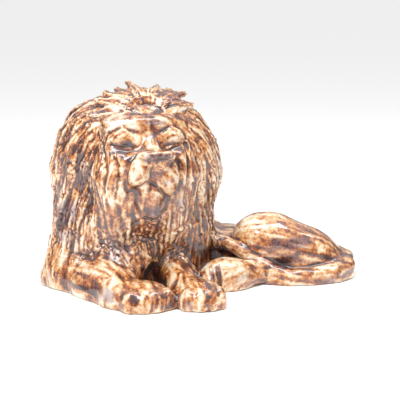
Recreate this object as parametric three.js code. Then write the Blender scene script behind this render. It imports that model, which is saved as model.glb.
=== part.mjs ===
// A glazed pottery lion, lying down with its head raised and turned to the viewer.
// The modelled clay is one solid: chest, mane and head at the left, crossed by two forelegs that reach
// forward, and a low body that runs away to the right and ends in a haunch wrapped by the tail.
//
// Millimetres, +Z up, the table at Z = 0. The lion looks along -Y, and its body runs along +X.
// The figure is a field of distances, negative inside the clay. Rounded forms are blended into it one
// after another, and its zero surface is meshed and thinned to flat facets.

import * as THREE from "three";
import { edgeTable, triTable } from "three/addons/objects/MarchingCubes.js";

// Driving dimensions, in millimetres
const HEIGHT = 275; // from the table to the highest tuft of the mane
const BASE_ROUNDING = 3; // radius of the edge where the clay meets the table
const LOCK_WIDTH = 19; // a lock of the mane where it is widest
const LOCK_RELIEF = 6; // how far a lock stands out of the mane
const LOCK_CREASE = 2.5; // softness of the crease between two locks
const EYE_WIDTH = 36; // from corner to corner
const MOUTH_GROOVE = 2.6; // radius of the groove that parts the lips
const TOE_GROOVE = 3.2; // radius of the grooves between the toes
const TAIL_THICKNESS = 29; // at its root
const TAIL_TIP_THICKNESS = 16;

// Fineness of the mesh
const CELL = 4; // side of a sampling cell
const TRIANGLES = 9600; // what is left after thinning
const FACE_CARE = 6; // how much dearer it is to lose a facet of the face than one of the body

// The pose is laid out for a lion 275 high, and follows HEIGHT.
const share = HEIGHT / 275;
const at = (x, y, z) => new THREE.Vector3(x, y, z).multiplyScalar(share);
const size = (a, b, c) => new THREE.Vector3(a, b, c).multiplyScalar(share);
const radii = (...values) => values.map((value) => value * share);
const clamp = THREE.MathUtils.clamp;
const degrees = THREE.MathUtils.degToRad;
const smooth = (t, low, high) => THREE.MathUtils.smoothstep(t, Math.min(low, high), Math.max(low, high));
const UP = new THREE.Vector3(0, 0, 1);

// The head's own directions: it is turned a little to the lion's left.
const HEAD_TURN = degrees(17);
const HEAD_FORWARD = new THREE.Vector3(Math.sin(HEAD_TURN), -Math.cos(HEAD_TURN), 0);
const HEAD_SIDE = new THREE.Vector3(Math.cos(HEAD_TURN), Math.sin(HEAD_TURN), 0);
const HEAD_AXIS = at(-83, 44, 0);
const MANE_CENTRE = at(-86, 66, 160);
const CHEST_MIDDLE = -80 * share; // where the chest hair gathers

// A place on the head: to the side, forward of its axis, and above the table.
const onHead = (side, forward, up) =>
  HEAD_AXIS.clone()
    .addScaledVector(HEAD_SIDE, side * share)
    .addScaledVector(HEAD_FORWARD, forward * share)
    .addScaledVector(UP, up * share);

const FAN = onHead(4, 38, 236); // the place on the forehead that the mane fans out from
const FAN_AXIS = FAN.clone().sub(MANE_CENTRE).normalize();
const FAN_BACK = UP.clone().addScaledVector(FAN_AXIS, -UP.dot(FAN_AXIS)).normalize();

// Forms. Each has the ball that holds it and a distance that is negative inside.

function egg(centre, half, along = new THREE.Vector3(1, 0, 0)) {
  const x = along.clone().normalize();
  const y = UP.clone().cross(x).normalize();
  const z = x.clone().cross(y);
  const offset = new THREE.Vector3();
  return {
    centre,
    reach: Math.max(half.x, half.y, half.z),
    distance(p) {
      offset.subVectors(p, centre);
      const [a, b, c] = [offset.dot(x) / half.x, offset.dot(y) / half.y, offset.dot(z) / half.z];
      const from = Math.hypot(a, b, c);
      const slope = Math.hypot(a / half.x, b / half.y, c / half.z);
      return slope < 1e-9 ? -Math.min(half.x, half.y, half.z) : (from * (from - 1)) / slope;
    },
  };
}

// A tapered tube through points, with one radius for each of them.
function tube(points, thickness) {
  const box = new THREE.Box3().setFromPoints(points);
  const ball = box.getBoundingSphere(new THREE.Sphere());
  const [step, offset] = [new THREE.Vector3(), new THREE.Vector3()];
  return {
    centre: ball.center,
    reach: ball.radius + Math.max(...thickness),
    distance(p) {
      let nearest = Infinity;
      for (let i = 0; i + 1 < points.length; i++) {
        step.subVectors(points[i + 1], points[i]);
        offset.subVectors(p, points[i]);
        const t = clamp(offset.dot(step) / step.lengthSq(), 0, 1);
        const radius = THREE.MathUtils.lerp(thickness[i], thickness[i + 1], t);
        nearest = Math.min(nearest, offset.addScaledVector(step, -t).length() - radius);
      }
      return nearest;
    },
  };
}

// The field: every form in the order in which it is added or carved.

const forms = [];
const add = (form, blend) => forms.push({ ...form, blend: blend * share, carved: false });
const carve = (form, blend) => forms.push({ ...form, blend: blend * share, carved: true });

function blended(a, b, width) {
  const h = Math.max(width - Math.abs(a - b), 0) / width;
  return Math.min(a, b) - (h * h * width) / 4;
}

function clay(p) {
  let d = 1e3;
  for (const form of forms) {
    const away = p.distanceTo(form.centre) - form.reach;
    if (form.carved) {
      if (away < form.blend - d) d = -blended(-d, form.distance(p), form.blend);
    } else if (away < d + form.blend) d = blended(d, form.distance(p), form.blend);
  }
  return d;
}

// The clay above the table, with its lower edge rounded.
const standing = (p) => -blended(-clay(p), p.z, BASE_ROUNDING);

function outward(p) {
  const e = 0.5;
  const probe = (x, y, z) => clay(p.clone().add(new THREE.Vector3(x, y, z)));
  return new THREE.Vector3(
    probe(e, 0, 0) - probe(-e, 0, 0),
    probe(0, e, 0) - probe(0, -e, 0),
    probe(0, 0, e) - probe(0, 0, -e),
  ).normalize();
}

// Body

function torso() {
  add(egg(at(-82, 80, 76), size(92, 70, 84)), 20); // chest
  add(egg(at(-146, 66, 56), size(54, 58, 62)), 26); // right shoulder
  add(egg(at(-36, 80, 55), size(48, 56, 62)), 26); // left shoulder
  add(tube([at(-60, 130, 42), at(10, 130, 26), at(80, 128, 26)], radii(56, 36, 34)), 26);
  add(egg(at(24, 128, 20), size(90, 60, 40)), 18);
  add(egg(at(125, 118, 28), size(68, 60, 36)), 18); // pelvis
  add(egg(at(176, 100, 14), size(34, 44, 28)), 14); // rump
}

function nearHaunch() {
  const slope = new THREE.Vector3(1, 0.02, -0.24);
  add(egg(at(122, 80, 8), size(70, 34, 25)), 8);
  add(egg(at(97, 88, 47), size(54, 42, 43), slope), 4);
  add(egg(at(142, 87, 38), size(48, 35, 34), slope), 12);
}

function farHaunch() {
  const slope = new THREE.Vector3(1, -0.02, -0.2);
  add(egg(at(98, 162, 30), size(58, 36, 36), slope), 5);
  add(egg(at(58, 188, 10), size(50, 19, 21)), 5); // far hind foot
}

// The left hind foot comes forward under the flank, nearly to the foreleg.
function hindFoot() {
  add(tube([at(92, 62, 12), at(62, 40, 14), at(38, 26, 16)], radii(19, 20, 20)), 8);
  add(egg(at(34, 22, 12), size(38, 26, 30), new THREE.Vector3(1, 0.3, 0)), 8);
  for (const toe of [0, 1, 2])
    carve(tube([at(10 + 9 * toe, -10, 4), at(3 + 9 * toe, 8, 44)], [TOE_GROOVE, TOE_GROOVE]), 3);
}

// The tail leaves the rump, lies along the table outside the haunch, and climbs over the foot to the flank.
function tail() {
  const root = TAIL_THICKNESS / 2;
  const tip = TAIL_TIP_THICKNESS / 2;
  const course = [
    at(182, 126, 24),
    at(204, 104, 20),
    at(202, 76, 18),
    at(184, 55, 14),
    at(152, 43, 11),
    at(122, 39, 11),
    at(97, 45, 17),
    at(76, 53, 28),
    at(56, 60, 42),
    at(36, 67, 52),
    at(14, 76, 57),
  ];
  const taper = course.map((_, i) => THREE.MathUtils.lerp(root, tip, i / (course.length - 1)));
  const foot = course.slice(1, 7).map((p) => p.clone().setZ(3 * share));
  add(tube(foot, foot.map(() => root * 0.8)), 4);
  add(tube(course, taper), 4);
}

// Forelegs

function foreleg({ elbow, forearm, paw, heading, spread }) {
  add(egg(elbow.centre, elbow.size, elbow.along), 16);
  add(egg(forearm.centre, forearm.size, forearm.along), 12);
  add(egg(paw, size(34, spread * 2.3, 26), heading), 10);
  toes(paw, heading, spread);
}

// Four toes, parted by grooves that run over the front of the paw.
function toes(paw, heading, spread) {
  const side = UP.clone().cross(heading);
  const onPaw = (forward, aside, up) =>
    paw
      .clone()
      .addScaledVector(heading, forward * share)
      .addScaledVector(side, aside * share)
      .setZ(up * share);
  for (const i of [-1.5, -0.5, 0.5, 1.5])
    add(egg(onPaw(24 - 3 * i * i, i * spread, 8), size(11, spread * 0.62, 20), heading), 6);
  for (const i of [-1, 0, 1]) {
    const groove = [onPaw(42, i * spread, 2), onPaw(38, i * spread, 20), onPaw(16, i * spread, 37)];
    carve(tube(groove, [TOE_GROOVE, TOE_GROOVE, 1]), 4);
  }
}

function forelegs() {
  foreleg({
    elbow: { centre: at(-172, 50, 14), size: size(52, 42, 52), along: new THREE.Vector3(-0.25, 1, 0) },
    forearm: { centre: at(-126, -14, 8), size: size(74, 35, 39), along: new THREE.Vector3(0.66, -0.75, 0) },
    paw: at(-70, -70, 8),
    heading: new THREE.Vector3(0.34, -0.94, 0).normalize(),
    spread: 16,
  });
  add(egg(at(-106, -60, 6), size(30, 22, 28), new THREE.Vector3(0.6, -0.8, 0)), 8); // outer side of the wrist
  foreleg({
    elbow: { centre: at(-36, 58, 26), size: size(40, 34, 40), along: new THREE.Vector3(-0.3, 1, 0) },
    forearm: { centre: at(-28, -4, 8), size: size(64, 26, 36), along: new THREE.Vector3(0.26, -0.97, 0) },
    paw: at(0, -62, 8),
    heading: new THREE.Vector3(0.26, -0.96, 0).normalize(),
    spread: 14,
  });
  add(egg(at(-98, 2, 42), size(38, 30, 30)), 16); // hair that hangs from the chest
  carve(egg(at(-62, -8, 12), size(15, 38, 30), new THREE.Vector3(1, 0.3, 0)), 4); // the hollow between them
}

// Head and face

// The place where a ray out of the clay leaves it.
function surfaceOf(from, ray) {
  let [near, far] = [5 * share, 190 * share];
  for (let i = 0; i < 20; i++) {
    const middle = (near + far) / 2;
    if (clay(from.clone().addScaledVector(ray, middle)) < 0) near = middle;
    else far = middle;
  }
  return from.clone().addScaledVector(ray, near);
}

// Places on the front of the face, each given as its distance to the side and above the table.
const onFace = (...places) => places.map(([side, up]) => surfaceOf(onHead(side, 0, up), HEAD_FORWARD));

function skull() {
  add(egg(onHead(0, 4, 176), size(60, 60, 62), HEAD_SIDE), 14);
  const brow = [onHead(-44, 32, 220), onHead(-15, 47, 223), onHead(15, 47, 223), onHead(44, 32, 220)];
  add(tube(brow, brow.map(() => 12 * share)), 10);
  add(tube([onHead(0, 44, 206), onHead(3, 74, 182)], radii(17, 14)), 10); // bridge of the nose
  for (const s of [-1, 1]) {
    add(egg(onHead(s * 35, 41, 165), size(26, 30, 44), HEAD_SIDE), 18); // cheek
    add(tube([onHead(s * 38, 40, 148), onHead(s * 34, 38, 92)], radii(27, 23)), 16); // beard
  }
  add(egg(onHead(1, 48, 118), size(36, 25, 38), HEAD_SIDE), 10); // throat
  add(tube([onHead(1, 68, 142), onHead(1, 62, 114)], radii(16, 14)), 4); // chin
  add(egg(onHead(-16, 67, 168), size(19, 25, 24), HEAD_SIDE), 4); // right half of the muzzle
  add(egg(onHead(20, 66, 159), size(18, 25, 27), HEAD_SIDE), 4); // left half of the muzzle
}

// The folds that part the muzzle from the cheeks, and the face from the mane.
function folds() {
  const right = onFace([-20, 190], [-31, 180], [-36, 160], [-31, 143]);
  const left = onFace([27, 190], [36, 176], [39, 153], [33, 136]);
  for (const fold of [right, left]) carve(tube(fold, radii(2, 3, 3.2, 2.2)), 5);
  carve(tube(onFace([-55, 200], [-57, 184], [-58, 166], [-60, 140]), radii(1.5, 4.5, 4.5, 2)), 5);
  carve(tube(onFace([50, 204], [53, 178], [51, 152], [47, 120]), radii(1.5, 3, 3, 1.5)), 4);
}

// A broad nose with a flat top, and two low swellings under it.
function nose() {
  const bar = [onHead(-15, 81, 186), onHead(-9, 86, 188), onHead(18, 86, 188), onHead(24, 81, 186)];
  add(tube(bar, radii(6, 7, 7, 6)), 4);
  carve(tube([onHead(-22, 87, 200), onHead(32, 87, 200)], radii(6, 6)), 2);
  add(egg(onHead(-6, 80, 177), size(10, 11, 9), HEAD_SIDE), 4);
  add(egg(onHead(12, 80, 176), size(11, 11, 9), HEAD_SIDE), 4);
}

// The mouth turns down on both sides, and a groove on each side parts the chin from the beard.
function mouth() {
  carve(tube(onFace([-4, 180], [-8, 172], [-8, 156]), radii(1.6, 2.2, 2.2)), 3);
  const lips = onFace([-24, 143], [-19, 148], [-9, 155], [-1, 152], [6, 146], [14, 137], [22, 130]);
  carve(tube(lips, lips.map(() => MOUTH_GROOVE)), 3);
  carve(tube(onFace([-20, 142], [-18, 126], [-15, 106]), radii(2.4, 2.8, 2)), 3);
  carve(tube(onFace([24, 130], [21, 118], [18, 104]), radii(2.6, 3, 2)), 3);
}

function eyes() {
  for (const s of [-1, 1]) {
    const gaze = HEAD_SIDE.clone().addScaledVector(HEAD_FORWARD, -0.35 * s);
    carve(egg(onHead(s * 33, 65, 206), size(0, 11, 13).setX(EYE_WIDTH * 0.6), gaze), 6);
    add(egg(onHead(s * 32, 47, 206), size(0, 14, 12).setX(EYE_WIDTH / 2), gaze), 2);
  }
}

// Mane

function maneMass() {
  add(egg(at(-86, 60, 182), size(101, 62, 70)), 20);
  add(tube([at(-126, 60, 204), at(-54, 64, 204)], radii(46, 46)), 20); // crown
  add(egg(at(-87, 76, 146), size(114, 74, 76)), 24);
  add(egg(at(-74, 118, 114), size(80, 62, 78)), 24); // back of the neck
  add(egg(at(-80, 60, 88), size(78, 58, 70)), 20); // chest
  add(egg(at(-142, 60, 88), size(48, 58, 62)), 24); // over the right shoulder
}

// The way the hair is combed: out from the forehead, then down like a fountain. The chest hair gathers
// to its middle, and the hair on the right shoulder spreads outward.
function combed(p) {
  const from = p.clone().sub(FAN);
  const away = from.length();
  const aside = (p.x - CHEST_MIDDLE) / share;
  const low = smooth(-p.z, -150 * share, -90 * share);
  const inFront = smooth(-p.y, -60 * share, -20 * share);
  const gather = (-aside / 50) * Math.exp(-((aside / 50) ** 2)) - 0.5 * smooth(-aside, 60, 110);
  const fall = 1.4 * smooth(away, 40 * share, 130 * share) + 1.5 * smooth(-p.z, -130 * share, -70 * share);
  const way = from.divideScalar(away).addScaledVector(UP, -fall);
  way.x += gather * low * inFront;
  return way;
}

// A start round the forehead: a turn of 0 lies over the crown, and of 180 over the face.
const roundForehead = (turn, swing) =>
  surfaceOf(
    MANE_CENTRE,
    FAN_AXIS.clone()
      .multiplyScalar(Math.cos(swing))
      .addScaledVector(FAN_BACK, Math.cos(turn) * Math.sin(swing))
      .addScaledVector(HEAD_SIDE, Math.sin(turn) * Math.sin(swing)),
  );

// Whether a lock may not start there: on the face or chest, on the body, or near the table.
function covered(p) {
  const from = p.clone().sub(HEAD_AXIS);
  const aside = Math.abs(from.dot(HEAD_SIDE));
  const inFront = aside < 50 * share && from.dot(HEAD_FORWARD) > 22 * share && p.z < 230 * share;
  return inFront || (p.x > 12 * share && p.z < 100 * share) || p.z < 24 * share;
}

// A repeatable number from 0 to 1 for each lock.
const chance = (i) => Math.abs(Math.sin(i * 78.233 + 1.7) * 43758.5453) % 1;

const LOCK_STEPS = 9;

// The course of a lock: it follows the combed hair and stays on the surface, with its tip raised.
function lockCourse(start, length, lift) {
  const p = start.clone();
  const course = [];
  for (let i = 0; i <= LOCK_STEPS; i++) {
    const t = i / LOCK_STEPS;
    const normal = outward(p);
    p.addScaledVector(normal, -clay(p));
    course.push(p.clone().addScaledVector(normal, LOCK_RELIEF - LOCK_WIDTH / 2 + lift * share * t * t));
    const way = combed(p);
    way.addScaledVector(normal, -way.dot(normal)).normalize();
    p.addScaledVector(way, length / LOCK_STEPS);
  }
  return course;
}

// Rows of locks: how far they start from the forehead in degrees, how many, how long, and how far tips lift.
const LOCK_ROWS = [
  { swing: 13, count: 7, length: 74, lift: 5 },
  { swing: 27, count: 13, length: 96, lift: 5 },
  { swing: 45, count: 17, length: 100, lift: 5 },
  { swing: 64, count: 21, length: 96, lift: 4 },
  { swing: 84, count: 22, length: 92, lift: 4 },
  { swing: 104, count: 22, length: 84, lift: 3 },
  { swing: 126, count: 18, length: 66, lift: 3 },
];

// Tufts that stand up on the crown: their turn in degrees, and how far each tip lifts.
const TUFTS = [
  [-66, 7], [-50, 8], [-35, 9], [-20, 10], [-5, 18], [11, 9], [25, 14], [39, 11], [53, 14], [68, 9],
];
const TUFT = { swing: 12, length: 50, girth: 1.5, tip: 0.45 };
const CROWN = { swing: 40, turn: 60 }; // no other locks start between the tufts

// A lock's half width along its course: it swells from its start, and tapers to the share left at its tip.
const lockWidth = (t, tip) =>
  (LOCK_WIDTH / 2) * (0.5 + 0.5 * smooth(t, 0, tip) - (1 - tip) * smooth(t, tip, 1));

function mane() {
  const locks = TUFTS.map(([turn, lift]) => ({
    ...TUFT,
    lift,
    start: roundForehead(degrees(turn), degrees(TUFT.swing)),
  }));
  LOCK_ROWS.forEach((row, r) => {
    for (let i = 0; i < row.count; i++) {
      const seed = 31 * r + i;
      const turn = (360 * (i + 0.5 * (r % 2) + 0.3 * (chance(seed) - 0.5))) / row.count;
      if (row.swing < CROWN.swing && Math.min(turn, 360 - turn) < CROWN.turn) continue;
      const swing = row.swing + 5 * (chance(seed + 333) - 0.5);
      const length = row.length * (0.8 + 0.4 * chance(seed + 900));
      const lift = row.lift * (0.4 + chance(seed + 77));
      locks.push({ start: roundForehead(degrees(turn), degrees(swing)), length, lift, girth: 1, tip: 0.38 });
    }
  });
  const courses = locks
    .filter(({ start }) => !covered(start))
    .map((lock) => ({ ...lock, course: lockCourse(lock.start, lock.length * share, lock.lift) }));
  for (const { course, girth, tip } of courses)
    add(tube(course, course.map((_, i) => girth * lockWidth(i / LOCK_STEPS, tip))), LOCK_CREASE);
}

torso();
maneMass();
farHaunch();
nearHaunch();
hindFoot();
tail();
forelegs();
mane();
skull();
folds();
nose();
mouth();
eyes();

// Meshing

// The zero surface of the field, as welded triangles. Blocks of cells that lie far from it are skipped.
function meshed(field, box, cell) {
  const BLOCK = 5;
  const span = box.getSize(new THREE.Vector3());
  const counts = span.divideScalar(cell * BLOCK).ceil().multiplyScalar(BLOCK).toArray();
  const [nx, ny, nz] = counts.map((n) => n + 1);
  const values = new Float32Array(nx * ny * nz).fill(NaN);
  const place = (i, j, k) => new THREE.Vector3(i, j, k).multiplyScalar(cell).add(box.min);
  const index = (i, j, k) => i + nx * (j + ny * k);
  const value = (i, j, k) => {
    const n = index(i, j, k);
    if (Number.isNaN(values[n])) values[n] = field(place(i, j, k)) || 1e-6;
    return values[n];
  };
  const corners = [[0, 0, 0], [1, 0, 0], [1, 1, 0], [0, 1, 0], [0, 0, 1], [1, 0, 1], [1, 1, 1], [0, 1, 1]];
  const levelEdges = [[0, 1], [1, 2], [3, 2], [0, 3], [4, 5], [5, 6], [7, 6], [4, 7]];
  const edges = [...levelEdges, [0, 4], [1, 5], [2, 6], [3, 7]];
  const vertices = [];
  const triangles = [];
  const known = new Map();

  function crossing(i, j, k, edge) {
    const [a, b] = edges[edge].map((c) => [i + corners[c][0], j + corners[c][1], k + corners[c][2]]);
    const axis = a.findIndex((v, n) => v !== b[n]);
    const key = index(...a) * 3 + axis;
    if (!known.has(key)) {
      const [va, vb] = [value(...a), value(...b)];
      known.set(key, vertices.length);
      vertices.push(place(...a).lerp(place(...b), clamp(va / (va - vb), 0.02, 0.98)));
    }
    return known.get(key);
  }

  function cellTriangles(i, j, k) {
    let code = 0;
    corners.forEach(([a, b, c], n) => {
      if (value(i + a, j + b, k + c) < 0) code |= 1 << n;
    });
    if (!edgeTable[code]) return;
    for (let t = 16 * code; triTable[t] !== -1; t += 3)
      triangles.push([2, 1, 0].map((n) => crossing(i, j, k, triTable[t + n])));
  }

  const reach = BLOCK * cell * 1.6;
  for (let k = 0; k < counts[2]; k += BLOCK)
    for (let j = 0; j < counts[1]; j += BLOCK)
      for (let i = 0; i < counts[0]; i += BLOCK) {
        const middle = place(i + BLOCK / 2, j + BLOCK / 2, k + BLOCK / 2);
        if (Math.abs(field(middle)) > reach) continue;
        for (let c = 0; c < BLOCK ** 3; c++)
          cellTriangles(i + (c % BLOCK), j + (Math.floor(c / BLOCK) % BLOCK), k + Math.floor(c / BLOCK ** 2));
      }
  return { vertices, triangles };
}

// A queue that gives its cheapest entry first.
class Queue {
  items = [];
  push(item) {
    const { items } = this;
    let n = items.push(item) - 1;
    while (n > 0) {
      const parent = (n - 1) >> 1;
      if (items[parent].cost <= items[n].cost) break;
      [items[parent], items[n]] = [items[n], items[parent]];
      n = parent;
    }
  }
  pop() {
    const { items } = this;
    const first = items[0];
    const last = items.pop();
    if (items.length) {
      items[0] = last;
      for (let n = 0; ; ) {
        let least = n;
        for (const child of [2 * n + 1, 2 * n + 2])
          if (child < items.length && items[child].cost < items[least].cost) least = child;
        if (least === n) break;
        [items[least], items[n]] = [items[n], items[least]];
        n = least;
      }
    }
    return first;
  }
}

// Thins a closed mesh by collapsing its cheapest edges. The cost is the squared distance to the planes
// of the facets that an edge has swallowed, times the care that the place deserves.
function thinned({ vertices, triangles }, wanted, care) {
  const planes = vertices.map(() => new Float64Array(10));
  const around = vertices.map(() => new Set());
  const version = new Uint32Array(vertices.length);
  const normalOf = ([a, b, c], moved = {}) => {
    const [p, q, r] = [a, b, c].map((v) => moved[v] ?? vertices[v]);
    return q.clone().sub(p).cross(r.clone().sub(p));
  };
  triangles.forEach((triangle, t) => {
    const normal = normalOf(triangle);
    const area = normal.length() / 2;
    if (area > 0) normal.normalize();
    const [x, y, z, w] = [normal.x, normal.y, normal.z, -normal.dot(vertices[triangle[0]])];
    const terms = [x * x, x * y, x * z, x * w, y * y, y * z, y * w, z * z, z * w, w * w];
    for (const v of triangle) {
      around[v].add(t);
      const weight = area * care(vertices[v]);
      terms.forEach((term, n) => (planes[v][n] += term * weight));
    }
  });
  const costAt = (q, { x, y, z }) =>
    q[0] * x * x + 2 * q[1] * x * y + 2 * q[2] * x * z + 2 * q[3] * x + q[4] * y * y +
    2 * q[5] * y * z + 2 * q[6] * y + q[7] * z * z + 2 * q[8] * z + q[9];
  const neighbours = (v) => {
    const found = new Set();
    for (const t of around[v]) for (const n of triangles[t]) if (n !== v) found.add(n);
    return found;
  };
  const queue = new Queue();
  function consider(a, b) {
    const q = planes[a].map((term, n) => term + planes[b][n]);
    const middle = vertices[a].clone().lerp(vertices[b], 0.5);
    const best = new THREE.Matrix3().set(q[0], q[1], q[2], q[1], q[4], q[5], q[2], q[5], q[7]);
    const choices = [vertices[a], vertices[b], middle];
    const span = vertices[a].distanceTo(vertices[b]);
    if (Math.abs(best.determinant()) > 1e-3) {
      const ideal = new THREE.Vector3(-q[3], -q[6], -q[8]).applyMatrix3(best.invert());
      if (ideal.distanceTo(middle) < 2 * span) choices.push(ideal);
    }
    const [cost, where] = choices
      .map((p) => [costAt(q, p), p])
      .reduce((least, next) => (next[0] < least[0] ? next : least));
    queue.push({ cost: Math.max(cost, 0) + 1e-4 * span * span, a, b, where, stamp: version[a] + version[b] });
  }
  triangles.forEach(([a, b, c]) => {
    if (a < b) consider(a, b);
    if (b < c) consider(b, c);
    if (c < a) consider(c, a);
  });
  let left = triangles.length;
  const flips = (v, other, where) => {
    for (const t of around[v]) {
      if (triangles[t].includes(other)) continue;
      const [before, after] = [normalOf(triangles[t]), normalOf(triangles[t], { [v]: where })];
      if (before.dot(after) < 0.25 * before.length() * after.length() || after.length() < 1e-3) return true;
    }
    return false;
  };
  while (left > wanted && queue.items.length) {
    const { a, b, where, stamp } = queue.pop();
    if (!around[a] || !around[b] || version[a] + version[b] !== stamp) continue;
    const [nearA, nearB] = [neighbours(a), neighbours(b)];
    const shared = [...nearA].filter((n) => nearB.has(n));
    if (!nearA.has(b) || shared.length !== 2 || shared.some((n) => around[n].size < 4)) continue;
    if (flips(a, b, where) || flips(b, a, where)) continue;
    for (const t of around[b]) {
      if (triangles[t].includes(a)) {
        for (const n of triangles[t]) if (n !== b) around[n].delete(t);
        triangles[t] = null;
        left--;
      } else {
        triangles[t] = triangles[t].map((n) => (n === b ? a : n));
        around[a].add(t);
      }
    }
    around[b] = null;
    vertices[a] = where.clone();
    planes[b].forEach((term, n) => (planes[a][n] += term));
    version[a]++;
    for (const n of neighbours(a)) {
      version[n]++;
    }
    for (const n of neighbours(a)) {
      consider(a, n);
      for (const m of neighbours(n)) if (m !== a) consider(n, m);
    }
  }
  return { vertices, triangles: triangles.filter(Boolean) };
}

// The triangles that hang together with the most others: a lock's tip can leave a crumb beside it.
function largestPiece({ vertices, triangles }) {
  const leader = vertices.map((_, v) => v);
  const find = (v) => {
    while (leader[v] !== v) v = leader[v] = leader[leader[v]];
    return v;
  };
  for (const [a, b, c] of triangles) {
    leader[find(b)] = find(a);
    leader[find(c)] = find(a);
  }
  const counts = new Map();
  for (const [a] of triangles) counts.set(find(a), (counts.get(find(a)) ?? 0) + 1);
  const [main] = [...counts].reduce((most, next) => (next[1] > most[1] ? next : most));
  return { vertices, triangles: triangles.filter(([a]) => find(a) === main) };
}

function geometryOf({ vertices, triangles }) {
  const positions = triangles.flatMap((triangle) => triangle.flatMap((v) => vertices[v].toArray()));
  const geometry = new THREE.BufferGeometry();
  geometry.setAttribute("position", new THREE.Float32BufferAttribute(positions, 3));
  geometry.computeVertexNormals();
  return geometry;
}

const room = new THREE.Box3(at(-232, -120, 0).setZ(-1.5 * CELL), at(230, 226, 300));
const faceMiddle = onHead(0, 70, 170);
const faceCare = (p) => 1 + (FACE_CARE - 1) * (1 - smooth(p.distanceTo(faceMiddle), 60 * share, 90 * share));
const mesh = thinned(largestPiece(meshed(standing, room, CELL)), TRIANGLES, faceCare);
for (const v of mesh.vertices) if (Math.abs(v.z) < 0.3) v.z = 0;

const glaze = new THREE.MeshStandardMaterial({ color: 0xa8703f, roughness: 0.28, metalness: 0 });
const lion = new THREE.Mesh(geometryOf(mesh), glaze);
lion.name = "lion";
const middle = new THREE.Box3().setFromObject(lion).getCenter(new THREE.Vector3());
lion.geometry.translate(-middle.x, -middle.y, 0);

const sculpture = new THREE.Group();
sculpture.add(lion);
export default sculpture;
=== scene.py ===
"""The dressed lion: fine modelling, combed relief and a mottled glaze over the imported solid.

The clay is a field of distances, negative inside, built from the same rounded forms as the solid, in
millimetres in the lion's own layout. Finer forms, the grooves of a modelling tool and combed relief are
added to it, and its zero surface becomes one mesh.
"""

import math

import bpy
import numpy as np
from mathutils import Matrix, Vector


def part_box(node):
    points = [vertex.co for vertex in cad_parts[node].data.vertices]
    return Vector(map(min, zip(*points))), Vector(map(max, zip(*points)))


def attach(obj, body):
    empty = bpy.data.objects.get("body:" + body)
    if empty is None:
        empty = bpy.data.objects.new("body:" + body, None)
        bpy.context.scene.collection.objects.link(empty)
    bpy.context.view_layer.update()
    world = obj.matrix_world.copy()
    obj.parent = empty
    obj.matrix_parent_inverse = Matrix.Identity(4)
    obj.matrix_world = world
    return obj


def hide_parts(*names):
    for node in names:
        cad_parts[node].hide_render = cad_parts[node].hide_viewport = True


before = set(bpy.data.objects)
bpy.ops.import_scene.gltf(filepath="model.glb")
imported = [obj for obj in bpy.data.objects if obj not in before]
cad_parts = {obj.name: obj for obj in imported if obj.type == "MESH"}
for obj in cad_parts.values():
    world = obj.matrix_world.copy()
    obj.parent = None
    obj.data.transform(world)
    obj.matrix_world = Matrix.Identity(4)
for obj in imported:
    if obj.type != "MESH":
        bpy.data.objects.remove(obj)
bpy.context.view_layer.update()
rng = np.random.default_rng(7)

CELL = 1.75  # side of a sampling cell
FACETS = 188000  # what the mesh is thinned to

LOCK_WIDTH = 19  # a lock of the mane where it is widest
LOCK_RELIEF = 6  # how far a lock stands out of the mane
LOCK_CREASE = 2.0  # softness of the crease between two locks
LOCK_STEPS = 9
STRAND_GROOVE = 2.4  # radius of the grooves that part the strands of a lock
LOCK_SWAY = 1.8  # how far a lock wanders to its sides
TUFT_SWAY = 0.7
EYE_WIDTH = 36
MOUTH_GROOVE = 2.6  # radius of the groove that parts the lips
TOE_GROOVE = 3.0
TAIL_THICKNESS = 29  # at its root
TAIL_TIP_THICKNESS = 16
BASE_ROUNDING = 3

FINE_RELIEF = 0.08  # fine streaks everywhere, and what the mane has more of them
FINE_RELIEF_IN_MANE = 0.12
BODY_RELIEF = 0.12  # broad streaks of the body and of the mane
MANE_RELIEF = 1.5
UNEVENNESS = 0.8  # of the hand-modelled clay
RELIEF_DEPTH = 0.3  # how far the relief as a whole is set into the clay

CAMERA_DISTANCE = 1500
CAMERA_RISE = math.radians(11)
CAMERA_AIM = 124  # height of the place that the camera looks at
FOCAL_LENGTH = 1154 / 400  # as a share of the picture's width
FLOOR_REACH = 40  # in metres

UP = np.array([0.0, 0.0, 1.0])
HEAD_TURN = math.radians(17)
HEAD_FORWARD = np.array([math.sin(HEAD_TURN), -math.cos(HEAD_TURN), 0])
HEAD_SIDE = np.array([math.cos(HEAD_TURN), math.sin(HEAD_TURN), 0])
HEAD_AXIS = np.array([-83.0, 44.0, 0.0])
CHEST_MIDDLE = -80  # where the chest hair gathers
MANE_CENTRE = np.array([-86.0, 66.0, 160.0])


def at(*place):
    return np.array(place, float)


def unit(v):
    v = np.asarray(v, float)
    return v / np.maximum(np.linalg.norm(v, axis=-1, keepdims=True), 1e-9)


def smooth(value, low, high):
    t = np.clip((value - low) / (high - low), 0, 1)
    return t * t * (3 - 2 * t)


def on_head(side, forward, up):
    """A place on the head: to the side, forward of its axis, and above the table."""
    return HEAD_AXIS + side * HEAD_SIDE + forward * HEAD_FORWARD + up * UP


FACE_MIDDLE = on_head(0, 70, 170)
FAN = on_head(4, 38, 236)  # the place on the forehead that the mane fans out from
FAN_AXIS = unit(FAN - MANE_CENTRE)
FAN_BACK = unit(UP - (UP @ FAN_AXIS) * FAN_AXIS)

# Forms: each has the ball that holds it and a distance that is negative inside.

forms = []


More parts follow.
